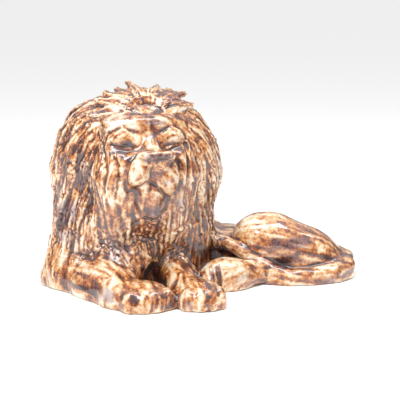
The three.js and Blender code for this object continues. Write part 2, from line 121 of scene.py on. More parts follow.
def egg(centre, half, along=(1, 0, 0)):
    half = np.array(half, float)
    x = unit(along)
    y = unit(np.cross(UP, x))
    turn = np.stack([x, y, np.cross(x, y)]).T

    def distance(p):
        q = (p - centre) @ turn / half
        away = np.sqrt(np.einsum("ij,ij->i", q, q))
        q /= half
        slope = np.sqrt(np.einsum("ij,ij->i", q, q))
        return away * (away - 1) / np.maximum(slope, 1e-9)

    return {"centre": np.asarray(centre), "reach": half.max(), "distance": distance}


def tube(points, thickness):
    """A tapered tube through points, with one radius for each of them."""
    points = np.asarray(points, float)
    low, high = points.min(0), points.max(0)

    def distance(p):
        nearest = np.full(len(p), np.inf)
        for a, b, ra, rb in zip(points, points[1:], thickness, thickness[1:]):
            step = b - a
            gap = p - a
            t = np.clip(gap @ step / (step @ step), 0, 1)
            gap -= t[:, None] * step
            np.minimum(nearest, np.sqrt(np.einsum("ij,ij->i", gap, gap)) - ra - (rb - ra) * t, out=nearest)
        return nearest

    reach = np.linalg.norm(high - low) / 2 + max(thickness)
    return {"centre": (low + high) / 2, "reach": reach, "distance": distance}


def grooved(form, grooves, blend):
    """A form with grooves of its own, that leave its neighbours whole."""

    def distance(p):
        d = form["distance"](p)
        for groove in grooves:
            d = -blended(-d, groove["distance"](p), blend)
        return d

    return {**form, "distance": distance}


def add(form, blend):
    forms.append({**form, "blend": blend, "carved": False})


def carve(form, blend):
    forms.append({**form, "blend": blend, "carved": True})


def blended(a, b, width):
    h = np.maximum(width - np.abs(a - b), 0) / width
    return np.minimum(a, b) - h * h * width / 4


def clay_of(points, chosen):
    d = np.full(len(points), 1e3)
    for form in chosen:
        away = np.sqrt(((points - form["centre"]) ** 2).sum(1)) - form["reach"]
        near = np.flatnonzero(away < (form["blend"] - d if form["carved"] else d + form["blend"]))
        if not len(near):
            continue
        own = form["distance"](points[near])
        if form["carved"]:
            d[near] = -blended(-d[near], own, form["blend"])
        else:
            d[near] = blended(d[near], own, form["blend"])
    return d


OUT_OF_REACH = 45  # a form this much farther off than the nearest one can't change the clay


def clay(points, block=28.0):
    """The distance to the clay, block by block, so that each block meets only the forms near it."""
    if len(points) < 4000:
        return clay_of(points, forms)
    centres = np.array([f["centre"] for f in forms])
    reaches = np.array([f["reach"] for f in forms])
    keys = np.floor(points / block).astype(int)
    keys -= keys.min(0)
    block_number = (keys[:, 0] * 4096 + keys[:, 1]) * 4096 + keys[:, 2]
    order = np.argsort(block_number, kind="stable")
    cuts = np.flatnonzero(np.diff(block_number[order])) + 1
    out = np.empty(len(points))
    for group in np.split(order, cuts):
        own = points[group]
        middle = own.mean(0)
        span = np.sqrt(((own - middle) ** 2).sum(1)).max()
        away = np.sqrt(((centres - middle) ** 2).sum(1)) - reaches - span
        nearest = max(away.min(), 0)
        out[group] = clay_of(own, [forms[i] for i in np.flatnonzero(away < nearest + span + OUT_OF_REACH)])
    return out


def outward(points):
    """The direction straight out of the clay."""
    nudge = 0.5 * np.eye(3)
    shifts = np.vstack([nudge, -nudge])
    d = clay((points[None] + shifts[:, None]).reshape(-1, 3)).reshape(6, -1)
    return unit((d[:3] - d[3:]).T)


# Body


def torso():
    add(egg(at(-82, 80, 76), (92, 70, 84)), 20)  # chest
    add(egg(at(-146, 66, 56), (54, 58, 62)), 26)  # right shoulder
    add(egg(at(-36, 80, 55), (48, 56, 62)), 26)  # left shoulder
    add(tube([at(-60, 130, 42), at(10, 130, 26), at(80, 128, 26)], (56, 36, 34)), 26)  # back
    add(egg(at(24, 128, 20), (90, 60, 40)), 18)  # belly
    add(egg(at(125, 118, 28), (68, 60, 36)), 18)  # pelvis
    add(egg(at(176, 100, 14), (34, 44, 28)), 14)  # rump


def mane_mass():
    add(egg(at(-86, 60, 182), (101, 62, 70)), 20)  # top
    add(tube([at(-126, 60, 204), at(-54, 64, 204)], (46, 46)), 20)  # crown
    add(egg(at(-87, 76, 146), (114, 74, 76)), 24)  # sides
    add(egg(at(-74, 118, 114), (80, 62, 78)), 24)  # back of the neck
    add(egg(at(-80, 60, 88), (78, 58, 70)), 20)  # chest
    add(egg(at(-142, 60, 88), (48, 58, 62)), 24)  # over the right shoulder


def far_haunch():
    add(egg(at(98, 162, 30), (58, 36, 36), (1, -0.02, -0.2)), 5)  # thigh
    add(egg(at(58, 188, 10), (50, 19, 21)), 5)  # hind foot


def near_haunch():
    slope = (1, 0.02, -0.24)
    add(egg(at(122, 80, 8), (70, 34, 25)), 8)  # where it rests on the table
    add(egg(at(97, 88, 47), (54, 42, 43), slope), 4)  # thigh
    add(egg(at(142, 87, 38), (48, 35, 34), slope), 12)  # its fall to the tail


def hind_foot():
    """The left hind foot, which comes forward under the flank."""
    add(tube([at(92, 62, 12), at(62, 40, 14), at(38, 26, 16)], (19, 20, 20)), 8)  # shank
    add(egg(at(34, 22, 12), (38, 26, 30), (1, 0.3, 0)), 8)  # paw
    for toe in range(3):
        carve(tube([at(10 + 9 * toe, -10, 4), at(3 + 9 * toe, 8, 44)], (TOE_GROOVE, TOE_GROOVE)), 3)


TAIL = [
    at(182, 126, 24),
    at(204, 104, 20),
    at(202, 76, 18),
    at(184, 55, 14),
    at(152, 43, 11),
    at(122, 39, 11),
    at(97, 45, 17),
    at(76, 53, 28),
    at(56, 60, 42),
    at(36, 67, 52),
    at(14, 76, 57),
]


def tail():
    """The tail, on a foot of clay where it lies along the table."""
    taper = np.linspace(TAIL_THICKNESS / 2, TAIL_TIP_THICKNESS / 2, len(TAIL))
    foot = [at(p[0], p[1], 3) for p in TAIL[1:7]]
    add(tube(foot, [0.4 * TAIL_THICKNESS] * len(foot)), 4)
    add(tube(TAIL, taper), 4)


# Forelegs

RIGHT_LEG = {
    "elbow": (at(-172, 50, 14), (52, 42, 52), (-0.25, 1, 0)),
    "forearm": (at(-126, -14, 8), (74, 35, 39), (0.66, -0.75, 0)),
    "paw": at(-70, -70, 8),
    "heading": unit((0.34, -0.94, 0)),
    "spread": 16,
}
LEFT_LEG = {
    "elbow": (at(-36, 58, 26), (40, 34, 40), (-0.3, 1, 0)),
    "forearm": (at(-28, -4, 8), (64, 26, 36), (0.26, -0.97, 0)),
    "paw": at(0, -62, 8),
    "heading": unit((0.26, -0.96, 0)),
    "spread": 14,
}


def foreleg(leg):
    """A foreleg with four toes, parted by grooves that run over the front of the paw."""
    paw, heading, spread = leg["paw"], leg["heading"], leg["spread"]
    side = np.cross(UP, heading)

    def on_paw(forward, aside, up):
        place = paw + forward * heading + aside * side
        return at(place[0], place[1], up)

    add(egg(*leg["elbow"]), 16)
    add(egg(*leg["forearm"]), 12)
    add(egg(paw, (34, spread * 2.3, 26), heading), 10)
    for i in (-1.5, -0.5, 0.5, 1.5):
        add(egg(on_paw(24 - 3 * i * i, i * spread, 8), (11, spread * 0.62, 20), heading), 6)
    for i in (-1, 0, 1):
        groove = [on_paw(42, i * spread, 2), on_paw(38, i * spread, 20), on_paw(16, i * spread, 37)]
        carve(tube(groove, (TOE_GROOVE, TOE_GROOVE, 1)), 4)


def forelegs():
    foreleg(RIGHT_LEG)
    add(egg(at(-106, -60, 6), (30, 22, 28), (0.6, -0.8, 0)), 8)  # outer side of the right wrist
    foreleg(LEFT_LEG)
    add(egg(at(-98, 2, 42), (38, 30, 30)), 16)  # hair that hangs from the chest
    carve(egg(at(-62, -8, 12), (15, 38, 30), (1, 0.3, 0)), 4)  # the hollow between the legs


# Head


def surface_of(origins, rays):
    """The places where rays out of the clay leave it."""
    near, far = np.full(len(rays), 5.0), np.full(len(rays), 190.0)
    for _ in range(20):
        middle = (near + far) / 2
        within = clay(origins + rays * middle[:, None]) < 0
        near, far = np.where(within, middle, near), np.where(within, far, middle)
    return origins + rays * near[:, None]


def on_face(*places, lift=0):
    """Places on the front of the face, each given as its distance to the side and above the table."""
    starts = np.array([on_head(side, 0, up) for side, up in places])
    return surface_of(starts, np.repeat(HEAD_FORWARD[None], len(starts), 0)) + lift * HEAD_FORWARD


def skull():
    add(egg(on_head(0, 4, 176), (60, 60, 62), HEAD_SIDE), 14)
    brow = [on_head(-44, 32, 220), on_head(-15, 47, 223), on_head(15, 47, 223), on_head(44, 32, 220)]
    add(tube(brow, (12, 12, 12, 12)), 10)
    add(tube([on_head(0, 44, 206), on_head(3, 74, 182)], (17, 14)), 10)  # bridge of the nose
    for s in (-1, 1):
        add(egg(on_head(s * 35, 41, 165), (26, 30, 44), HEAD_SIDE), 18)  # cheek
        add(tube([on_head(s * 38, 40, 148), on_head(s * 34, 38, 92)], (27, 23)), 16)  # beard
    add(egg(on_head(1, 48, 118), (36, 25, 38), HEAD_SIDE), 10)  # throat
    add(tube([on_head(1, 68, 142), on_head(1, 62, 114)], (16, 14)), 4)  # chin
    add(egg(on_head(-16, 67, 168), (19, 25, 24), HEAD_SIDE), 9)  # right half of the muzzle
    add(egg(on_head(20, 66, 159), (18, 25, 27), HEAD_SIDE), 9)  # left half of the muzzle


def folds():
    """The folds that part the muzzle from the cheeks, and the face from the mane."""
    right = on_face((-20, 190), (-31, 180), (-36, 160), (-31, 143))
    left = on_face((27, 190), (36, 176), (39, 153), (33, 136))
    for fold in (right, left):
        carve(tube(fold, (2, 3, 3.2, 2.2)), 5)
    carve(tube(on_face((-55, 200), (-57, 184), (-58, 166), (-60, 140)), (1.5, 4.5, 4.5, 2)), 5)
    carve(tube(on_face((50, 204), (53, 178), (51, 152), (47, 120)), (1.5, 3, 3, 1.5)), 4)
    carve(tube(on_face((-46, 190), (-42, 174), (-42, 158), (-47, 132)), (1.2, 2, 2, 1.2)), 3)


def nose():
    """A broad nose with a flat top, and two low swellings under it."""
    bar = [on_head(-15, 81, 186), on_head(-9, 86, 188), on_head(18, 86, 188), on_head(24, 81, 186)]
    add(tube(bar, (6, 7, 7, 6)), 4)
    carve(tube([on_head(-22, 87, 200), on_head(32, 87, 200)], (6, 6)), 2)
    add(egg(on_head(-6, 80, 177), (10, 11, 9), HEAD_SIDE), 4)
    add(egg(on_head(12, 80, 176), (11, 11, 9), HEAD_SIDE), 4)


def mouth():
    """The mouth turns down on both sides, and a groove runs round the chin."""
    add(egg(on_head(3, 71, 167), (13, 13, 15), HEAD_SIDE), 7)
    carve(tube(on_face((-2, 176), (-4, 168), (-4, 156)), (1.0, 1.3, 1.3)), 3)
    lips = on_face((-24, 143), (-19, 148), (-9, 155), (-1, 152), (6, 146), (14, 137), (22, 130))
    carve(tube(lips, [MOUTH_GROOVE] * len(lips)), 2.5)
    carve(tube(on_face((-20, 142), (-19, 126), (-13, 108), (0, 103)), (1.6, 1.8, 1.8, 1.4)), 3)
    carve(tube(on_face((23, 132), (21, 118), (14, 106), (0, 103)), (1.6, 1.8, 1.8, 1.4)), 3)


def eyes():
    """Each eye in its socket, with a filled inner corner and low lids."""
    for s in (-1, 1):
        gaze = HEAD_SIDE - 0.35 * s * HEAD_FORWARD
        carve(egg(on_head(s * 33, 65, 206), (EYE_WIDTH * 0.6, 11, 13), gaze), 11)
        add(egg(on_head(s * 32, 47, 206), (EYE_WIDTH / 2, 14, 12), gaze), 2)
        add(egg(on_head(s * 16, 53, 202), (9, 10, 10)), 8)
        upper = on_face((s * 50, 204), (s * 43, 213), (s * 32, 218), (s * 20, 211), lift=0.4)
        lower = on_face((s * 50, 202), (s * 38, 196), (s * 24, 194), lift=0.4)
        add(tube(upper, (1.2, 2.2, 2.4, 1.2)), 3)
        add(tube(lower, (1.2, 1.8, 1.2)), 3)


# Mane


def combed(p):
    """The way the hair of the mane is combed: out from the forehead, then down like a fountain."""
    gap = p - FAN
    away = np.linalg.norm(gap, axis=1)
    fall = 1.4 * smooth(away, 40, 130) + 1.5 * smooth(-p[:, 2], -130, -70)
    aside = p[:, 0] - CHEST_MIDDLE  # low on the front, the hair gathers towards the chest
    gather = -aside / 50 * np.exp(-((aside / 50) ** 2)) - 0.5 * smooth(-aside, 60, 110)
    gather *= smooth(-p[:, 2], -150, -90) * smooth(-p[:, 1], -60, -20)
    way = gap / away[:, None] - UP * fall[:, None]
    way[:, 0] += gather
    return way


def round_forehead(turn, swing):
    """A ray to a start round the forehead: a turn of 0 lies over the crown, and of 180 over the face."""
    return (
        FAN_AXIS * math.cos(swing)
        + FAN_BACK * math.cos(turn) * math.sin(swing)
        + HEAD_SIDE * math.sin(turn) * math.sin(swing)
    )


def chance(i):
    """A repeatable number from 0 to 1 for each lock."""
    return abs(math.sin(i * 78.233 + 1.7) * 43758.5453) % 1


# A tuft on the crown: swing from the forehead, length, girth, and share of its width left at its tip
TUFT_SWING, TUFT_LENGTH, TUFT_GIRTH, TUFT_TIP = 12, 50, 1.5, 0.35
# Turn about the forehead and lift of the tip of each tuft
TUFTS = [(-66, 7), (-50, 8), (-35, 9), (-20, 10), (-5, 18), (11, 9), (25, 14), (39, 11), (53, 14), (68, 9)]
# Swing from the forehead, number of locks, their length and the lift of their tips
LOCK_ROWS = [
    (13, 7, 74, 5),
    (27, 13, 96, 5),
    (45, 17, 100, 5),
    (64, 21, 96, 4),
    (84, 22, 92, 4),
    (104, 22, 84, 3),
    (126, 18, 66, 3),
]
LOCK_TIP = 0.38
CROWN_SWING, CROWN_TURN = 40, 60  # no other locks start between the tufts
# A lock of the chest: length, lift of its tip, girth, and share of its width left at its tip
CHEST_LOCK = (64, 1.5, 0.8, 0.35)
# Where the grooves between strands lie across a lock, as shares of its half width
TUFT_STRANDS = (-0.34, -0.02, 0.3)
FOUR_STRANDS = (-0.48, -0.02, 0.45)
FIVE_STRANDS = (-0.6, -0.22, 0.18, 0.58)


def covered(p):
    """Whether a lock may not start there: on the face, on the body or near the table."""
    gap = p - HEAD_AXIS
    in_front = abs(gap @ HEAD_SIDE) < 50 and gap @ HEAD_FORWARD > 22 and p[2] < 230
    return in_front or (p[0] > 12 and p[2] < 100) or p[2] < 24


def lock_list():
    """Each lock as its start, its length, the lift of its tip, its girth and the share left at its tip."""
    rays, rest = [], []
    for turn, lift in TUFTS:
        rays.append(round_forehead(math.radians(turn), math.radians(TUFT_SWING)))
        rest.append((TUFT_LENGTH, lift, TUFT_GIRTH, TUFT_TIP))
    for r, (swing, count, length, lift) in enumerate(LOCK_ROWS):
        for i in range(count):
            seed = 31 * r + i
            turn = 360 * (i + 0.5 * (r % 2) + 0.3 * (chance(seed) - 0.5)) / count
            if swing < CROWN_SWING and min(turn, 360 - turn) < CROWN_TURN:
                continue
            wander = 5 * (chance(seed + 333) - 0.5)
            rays.append(round_forehead(math.radians(turn), math.radians(swing + wander)))
            own_length = length * (0.8 + 0.4 * chance(seed + 900))
            rest.append((own_length, lift * (0.4 + chance(seed + 77)), 1, LOCK_TIP))
    rays = np.array(rays)
    starts = surface_of(np.repeat(MANE_CENTRE[None], len(rays), 0), rays)
    locks = [(start, *more) for start, more in zip(starts, rest) if not covered(start)]
    # Low locks side by side across the chest, at three heights in turn
    chest = [(side, 104 - 9 * (i % 3)) for i, side in enumerate(range(-50, 40, 9))]
    return locks + [(start, *CHEST_LOCK) for start in on_face(*chest)]


def lock_width(t, tip):
    """A lock's half width along its course: it swells from its start, and tapers to its tip."""
    return LOCK_WIDTH / 2 * (0.3 + 0.7 * smooth(t, 0, tip) - (1 - tip) * smooth(t, tip, 1))


def mane():
    """Locks that follow the combed hair and stay on the surface, with tips raised and strands parted."""
    locks = lock_list()
    p = np.array([k[0] for k in locks])
    length, lift = np.array([k[1] for k in locks]), np.array([k[2] for k in locks])
    courses, normals, ways = [], [], []
    for i in range(LOCK_STEPS + 1):
        t = i / LOCK_STEPS
        normal = outward(p)
        p = p - normal * clay(p)[:, None]
        courses.append(p + normal * (LOCK_RELIEF - LOCK_WIDTH / 2 + lift * t * t)[:, None])
        way = combed(p)
        way = unit(way - normal * (way * normal).sum(1)[:, None])
        normals.append(normal)
        ways.append(way)
        p = p + way * (length / LOCK_STEPS)[:, None]
    courses, normals, ways = (np.stack(x, 1) for x in (courses, normals, ways))
    steps = np.arange(LOCK_STEPS + 1) / LOCK_STEPS
    for k, (_, _, _, girth, tip) in enumerate(locks):
        width = girth * lock_width(steps, tip)
        sway = (LOCK_SWAY if girth == 1 else TUFT_SWAY) * np.sin(2 * math.pi * (1.1 * steps + chance(k + 40)))
        across = np.cross(normals[k], ways[k])
        lock = tube(courses[k] + across * sway[:, None], width)
        strands = FOUR_STRANDS if chance(k + 3) < 0.6 else FIVE_STRANDS
        if girth > 1:
            strands = TUFT_STRANDS
        grooves = []
        for share in strands:
            aside = sway + share * width
            height = np.sqrt(width**2 - (share * width) ** 2)
            groove = courses[k] + across * aside[:, None] + normals[k] * (height + 0.2)[:, None]
            depth = STRAND_GROOVE * (0.5 + 0.5 * smooth(steps, 0, 0.3) - 0.3 * steps)
            grooves.append(tube(groove, depth))
        add(grooved(lock, grooves, 0.8), LOCK_CREASE * girth)


torso()
mane_mass()
far_haunch()
near_haunch()
hind_foot()
tail()
forelegs()
mane()
skull()
folds()
nose()
mouth()
eyes()


# Meshing


def sampled(low, high, cell, block=6):
    """The field on a grid, exact near the surface and rough away from it."""
    blocks = np.ceil((high - low) / (cell * block)).astype(int)
    shape = blocks * block + 1
    middles = np.stack(np.meshgrid(*[np.arange(n) for n in blocks], indexing="ij"), -1).reshape(-1, 3)
    rough = clay(low + (middles + 0.5) * cell * block, block=60)
    values = np.empty(shape, np.float32)
    spread = np.repeat(np.repeat(np.repeat(rough.reshape(blocks), block, 0), block, 1), block, 2)
    values[:-1, :-1, :-1] = spread
    values[-1], values[:, -1], values[:, :, -1] = 50, 50, 50
    # Every second sample is taken in the blocks that the surface may cross
    wanted = np.zeros(shape, bool)
    for b in middles[np.abs(rough) < 1.25 * cell * block] * block:
        wanted[b[0] : b[0] + block + 1, b[1] : b[1] + block + 1, b[2] : b[2] + block + 1] = True
    index = np.argwhere(wanted)
    coarse = index[(index % 2 == 0).all(1)]
    near = np.zeros(shape, bool)
    d = clay(low + coarse * cell)
    values[tuple(coarse.T)] = d
    # Every sample is taken near those where the surface is close, and the rest keep a sign
    for c in coarse[np.abs(d) < 3.2 * cell]:
        near[max(c[0] - 1, 0) : c[0] + 2, max(c[1] - 1, 0) : c[1] + 2, max(c[2] - 1, 0) : c[2] + 2] = True
    sign = np.where(d < 0, -1.0, 1.0) * 3 * cell
    for shift in np.stack(np.meshgrid([0, 1], [0, 1], [0, 1], indexing="ij"), -1).reshape(-1, 3):
        put = np.minimum(coarse + shift, shape - 1)
        values[tuple(put.T)] = sign
    fine = np.argwhere(near & wanted)
    values[tuple(fine.T)] = clay(low + fine * cell)
    # The table cuts the clay flat, with a rounded edge
    heights = low[2] + np.arange(shape[2]) * cell
    return -blended(-values, heights[None, None, :], BASE_ROUNDING)


def surface_net(values, low, cell):
    """One vertex for each cell that the surface crosses, and one quad for each crossed grid edge."""
    inside = values < 0
    nx, ny, nz = values.shape
    count = np.zeros((nx - 1, ny - 1, nz - 1), np.int8)
    corners = [(i, j, k) for i in (0, 1) for j in (0, 1) for k in (0, 1)]
    for i, j, k in corners:
        count += inside[i : nx - 1 + i, j : ny - 1 + j, k : nz - 1 + k]
    cells = np.argwhere((count > 0) & (count < 8))
    number = np.full(count.shape, -1, np.int32)
    number[tuple(cells.T)] = np.arange(len(cells))
    total, hits = np.zeros((len(cells), 3)), np.zeros(len(cells))
    for a in corners:
        for axis in range(3):
            if a[axis]:
                continue
            b = tuple(1 if n == axis else a[n] for n in range(3))
            va, vb = values[tuple((cells + a).T)], values[tuple((cells + b).T)]
            crossed = (va < 0) != (vb < 0)
            t = np.where(crossed, va / np.where(crossed, va - vb, 1), 0)
            place = cells + a + t[:, None] * (np.array(b) - a)
            total += np.where(crossed[:, None], place, 0)
            hits += crossed
    vertices = low + cell * total / hits[:, None]
    quads = []
    for axis in range(3):
        u, v = (axis + 1) % 3, (axis + 2) % 3
        ahead = [slice(None)] * 3
        behind = [slice(None)] * 3
        ahead[axis], behind[axis] = slice(1, None), slice(None, -1)
        change = inside[tuple(behind)].astype(np.int8) - inside[tuple(ahead)]
        edge = np.argwhere(change != 0)
        edge = edge[(edge[:, u] > 0) & (edge[:, v] > 0)]
        leaving = change[tuple(edge.T)] > 0
        ring = []
        for du, dv in ((1, 1), (0, 1), (0, 0), (1, 0)):
            c = edge.copy()
            c[:, u] -= du
            c[:, v] -= dv
            ring.append(number[tuple(c.T)])
        ring = np.stack(ring, 1)
        ring[~leaving] = ring[~leaving][:, ::-1]
        quads.append(ring)
    return vertices, np.concatenate(quads)


def normals_of(vertices, quads):
    """The normal at each vertex: the mean of its quads', by their size."""
    a, b, c, d = (vertices[quads[:, i]] for i in range(4))
    face = np.cross(c - a, d - b)
    out = np.zeros_like(vertices)
    for i in range(4):
        np.add.at(out, quads[:, i], face)
    return unit(out)


# Relief

NOISE_SIDE = 64  # the noise repeats after as many wavelengths
NOISE = rng.random((NOISE_SIDE, NOISE_SIDE, NOISE_SIDE)).astype(np.float32)


def noise(p, wavelength):
    """Smooth noise from 0 to 1 that is the same at each place."""
    q = p / wavelength + 1000.37  # shifted, so that no plane of its grid lies at 0
    i = np.floor(q).astype(int)
    f = q - i
    f = f * f * (3 - 2 * f)
    i0, i1 = i % NOISE_SIDE, (i + 1) % NOISE_SIDE
    x0, y0, z0 = i0.T
    x1, y1, z1 = i1.T
    fx, fy, fz = f.T
    low = (NOISE[x0, y0, z0] * (1 - fx) + NOISE[x1, y0, z0] * fx) * (1 - fy)
    low += (NOISE[x0, y1, z0] * (1 - fx) + NOISE[x1, y1, z0] * fx) * fy
    high = (NOISE[x0, y0, z1] * (1 - fx) + NOISE[x1, y0, z1] * fx) * (1 - fy)
    high += (NOISE[x0, y1, z1] * (1 - fx) + NOISE[x1, y1, z1] * fx) * fy
    return low * (1 - fz) + high * fz


# Places where the hair lies another way than in the mane: centre, reach and direction.
COMB_PLACES = [
    (at(-126, -14, 20), 66, (0.66, -0.75, -0.05)),
    (at(-70, -70, 15), 46, (0.34, -0.94, -0.1)),
    (at(-20, -4, 20), 50, (0.2, -0.98, -0.1)),
    (at(0, -62, 15), 42, (0.26, -0.96, -0.1)),
    (at(-180, 46, 20), 56, (0.3, -0.5, -0.8)),
    (at(34, 22, 20), 40, (-1, -0.4, -0.1)),
    (at(60, 150, 50), 80, (1, 0, -0.05)),
    (at(150, 110, 30), 90, (1, 0, -0.2)),
]


def comb(p):
    """The way the hair lies everywhere."""
    way = combed(p)
    body = smooth(p[:, 0] + 0.35 * p[:, 1], 20, 60)[:, None]
    way = way * (1 - body) + np.array([1, -0.05, -0.12]) * body
    for centre, reach, direction in COMB_PLACES:
        weight = 1 - smooth(np.linalg.norm(p - centre, axis=1), 0.55 * reach, reach)
        way = way * (1 - weight)[:, None] + unit(direction) * weight[:, None]
    head = p - FACE_MIDDLE
    face = 1 - smooth(np.linalg.norm(head / [1, 1, 1.15], axis=1), 40, 62)
    away = unit(head - (head @ HEAD_FORWARD)[:, None] * HEAD_FORWARD) - 0.4 * HEAD_FORWARD - 0.35 * UP
    return way * (1 - face)[:, None] + away * face[:, None]


def streaks(p, normal, wavelength, length, steps=7):
    """Noise drawn out along the hair, with a mean of 0 and a spread of 1."""
    total = noise(p, wavelength)
    for sense in (-1, 1):
        q = p.copy()
        for _ in range(steps):
            way = comb(q)
            way = unit(way - normal * (way * normal).sum(1)[:, None])
            q += sense * way * length / steps
            total = total + noise(q, wavelength)
    return (total - total.mean()) / total.std()


low, high = at(-232, -120, -1.5 * CELL), at(232, 226, 300)
values = sampled(low, high, CELL)
vertices, quads = surface_net(values, low, CELL)
links = np.concatenate([quads[:, [0, 1]], quads[:, [1, 2]], quads[:, [2, 3]], quads[:, [3, 0]]])


def averaged(field, links, rounds):
    """A field blurred over the mesh: each vertex goes half the way to the mean of its neighbours."""
    weight = np.bincount(links.ravel(), minlength=len(field))
    for _ in range(rounds):
        total = np.empty_like(field)
        for column in range(field.shape[1]):
            own = field[:, column]
            total[:, column] = np.bincount(links[:, 0], own[links[:, 1]], len(field))
            total[:, column] += np.bincount(links[:, 1], own[links[:, 0]], len(field))
        field = 0.5 * field + 0.5 * total / weight[:, None]
    return field


smoothed = averaged(vertices, links, 6)
normal = unit(averaged(normals_of(vertices, quads), links, 4))
crease = smooth(((smoothed - vertices) * normal).sum(1), 0.15, 0.9)

around_face = smooth(np.linalg.norm((vertices - FACE_MIDDLE) / [1, 1, 1.1], axis=1), 50, 66)
in_mane = around_face * (1 - smooth(vertices[:, 0] + 0.25 * vertices[:, 1], 30, 60))
in_mane *= smooth(vertices[:, 2], 30, 60)
fine = streaks(vertices, normal, wavelength=4.0, length=20)
broad = streaks(vertices, normal, wavelength=6.5, length=44, steps=11)
relief = (FINE_RELIEF + FINE_RELIEF_IN_MANE * in_mane) * fine + BODY_RELIEF * broad * (1 - in_mane)
relief += in_mane * MANE_RELIEF * (np.abs(broad) ** 0.8 - 0.8)
relief += UNEVENNESS * (noise(vertices, 16) - 0.5)
on_crown = 1 - smooth(np.linalg.norm(vertices - FAN, axis=1), 45, 80)
relief *= (0.35 + 0.65 * around_face) * (1 - 0.9 * crease) * (1 - 0.75 * on_crown)
relief *= smooth(vertices[:, 2], 0.5, 5)
vertices = vertices + normal * (relief - RELIEF_DEPTH)[:, None]
vertices[np.abs(vertices[:, 2]) < 0.4, 2] = 0  # the underside stays flat


# Into the frame, in metres: its origin lies under the middle of the solid's box

solid_low, solid_high = (np.array(c, float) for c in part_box("lion"))
scale = 0.001  # from millimetres to metres
origin = at(0.46, 50.23, 0)
placed = (vertices - origin) * scale
placed = np.clip(placed, solid_low, solid_high)

mesh = bpy.data.meshes.new("lion_clay")
mesh.vertices.add(len(placed))
mesh.vertices.foreach_set("co", placed.astype(np.float32).ravel())
mesh.loops.add(quads.size)
mesh.loops.foreach_set("vertex_index", quads.ravel().astype(np.int32))
mesh.polygons.add(len(quads))
mesh.polygons.foreach_set("loop_start", np.arange(0, quads.size, 4, dtype=np.int32))
mesh.update(calc_edges=True)
mesh.validate()
print("mesh before thinning", len(mesh.vertices), len(mesh.polygons))

clay_object = bpy.data.objects.new("glazed_lion", mesh)
bpy.context.collection.objects.link(clay_object)
thin = clay_object.modifiers.new("thin", "DECIMATE")
thin.ratio = min(1, FACETS / (2 * len(quads)))
thin.use_collapse_triangulate = True
evaluated = clay_object.evaluated_get(bpy.context.evaluated_depsgraph_get())
thinned = bpy.data.meshes.new_from_object(evaluated)
clay_object.modifiers.clear()
clay_object.data = thinned
bpy.data.meshes.remove(mesh)
thinned.name = "lion_clay"
for polygon in thinned.polygons:
    polygon.use_smooth = True
print("mesh", len(thinned.vertices), len(thinned.polygons))

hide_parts("lion")
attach(clay_object, "root")


# What the glaze needs to know at each vertex

co = np.empty(len(thinned.vertices) * 3, np.float32)
thinned.vertices.foreach_get("co", co)
co = co.reshape(-1, 3).astype(float)
own_normal = np.empty(len(thinned.vertices) * 3, np.float32)
thinned.vertices.foreach_get("normal", own_normal)
own_normal = own_normal.reshape(-1, 3).astype(float)
edges = np.empty(len(thinned.edges) * 2, np.int32)
thinned.edges.foreach_get("vertices", edges)
edges = edges.reshape(-1, 2)
layout = co / scale + origin


def standing_out(rounds):
    """How far each vertex stands out of the blurred surface, with a spread of 1."""
    out = ((co - averaged(co, edges, rounds)) * own_normal).sum(1)
    return out / out.std()


def attribute(name, data):
    layer = thinned.attributes.new(name, "FLOAT", "POINT")
    layer.data.foreach_set("value", np.asarray(data, np.float32))


ridge = standing_out(6)  # negative in a groove, where it darkens the glaze more than a ridge lightens it
attribute("ridge", np.clip(np.where(ridge < 0, 1.7 * ridge, ridge), -4, 1.4))
attribute("streak", streaks(layout, own_normal, wavelength=3.2, length=14))
attribute("band", streaks(layout, own_normal, wavelength=10.0, length=34))

# Places where the glaze is darker, centre and half sizes: dark glaze on the nose, painted shade in the rest
DARK_GLAZE_AND_SHADE = [
    (on_head(4, 88, 187), (22, 14, 6)),  # nose
    (on_head(-24, 72, 180), (5, 14, 10)),  # painted shade in the fold at its right
    (at(-62, -8, 14), (22, 36, 24)),  # painted shade in the hollow between the forelegs
    (at(26, 66, 40), (36, 24, 14)),  # painted shade in the hollow behind the hind foot
]
# Places where it pooled mauve
MAUVE = [
    (on_head(4, 90, 187), (24, 16, 7)),  # nose
    (on_head(2, 78, 110), (14, 18, 13)),  # chin
    (on_head(3, 66, 206), (8, 14, 11)),  # bridge of the nose
    (on_head(8, 52, 226), (22, 16, 4)),  # brow
    (at(-104, -56, 16), (44, 40, 12)),  # right forearm
    (at(-176, 20, 92), (22, 40, 40)),  # mane over the right shoulder
    (at(-150, 16, 160), (16, 22, 26)),
    (at(140, 34, 2), (80, 22, 7)),  # tail
    (at(120, 40, 56), (40, 30, 10)),  # haunch
    (at(-28, 20, 120), (16, 26, 40)),  # mane under the left cheek
]


def near_any(places):
    """How near each vertex lies to any of the places, from 0 to 1."""
    near = np.zeros(len(layout))
    for centre, half in places:
        away = np.linalg.norm((layout - centre) / half, axis=1)
        near = np.maximum(near, 1 - smooth(away, 0.5, 1.25))
    return near


# Darkening of the glaze: thick dark glaze on the nose, and painted shade in the fold and the hollows
attribute("dark_glaze_and_shade", near_any(DARK_GLAZE_AND_SHADE))
attribute("mauve", near_any(MAUVE))


# Glaze


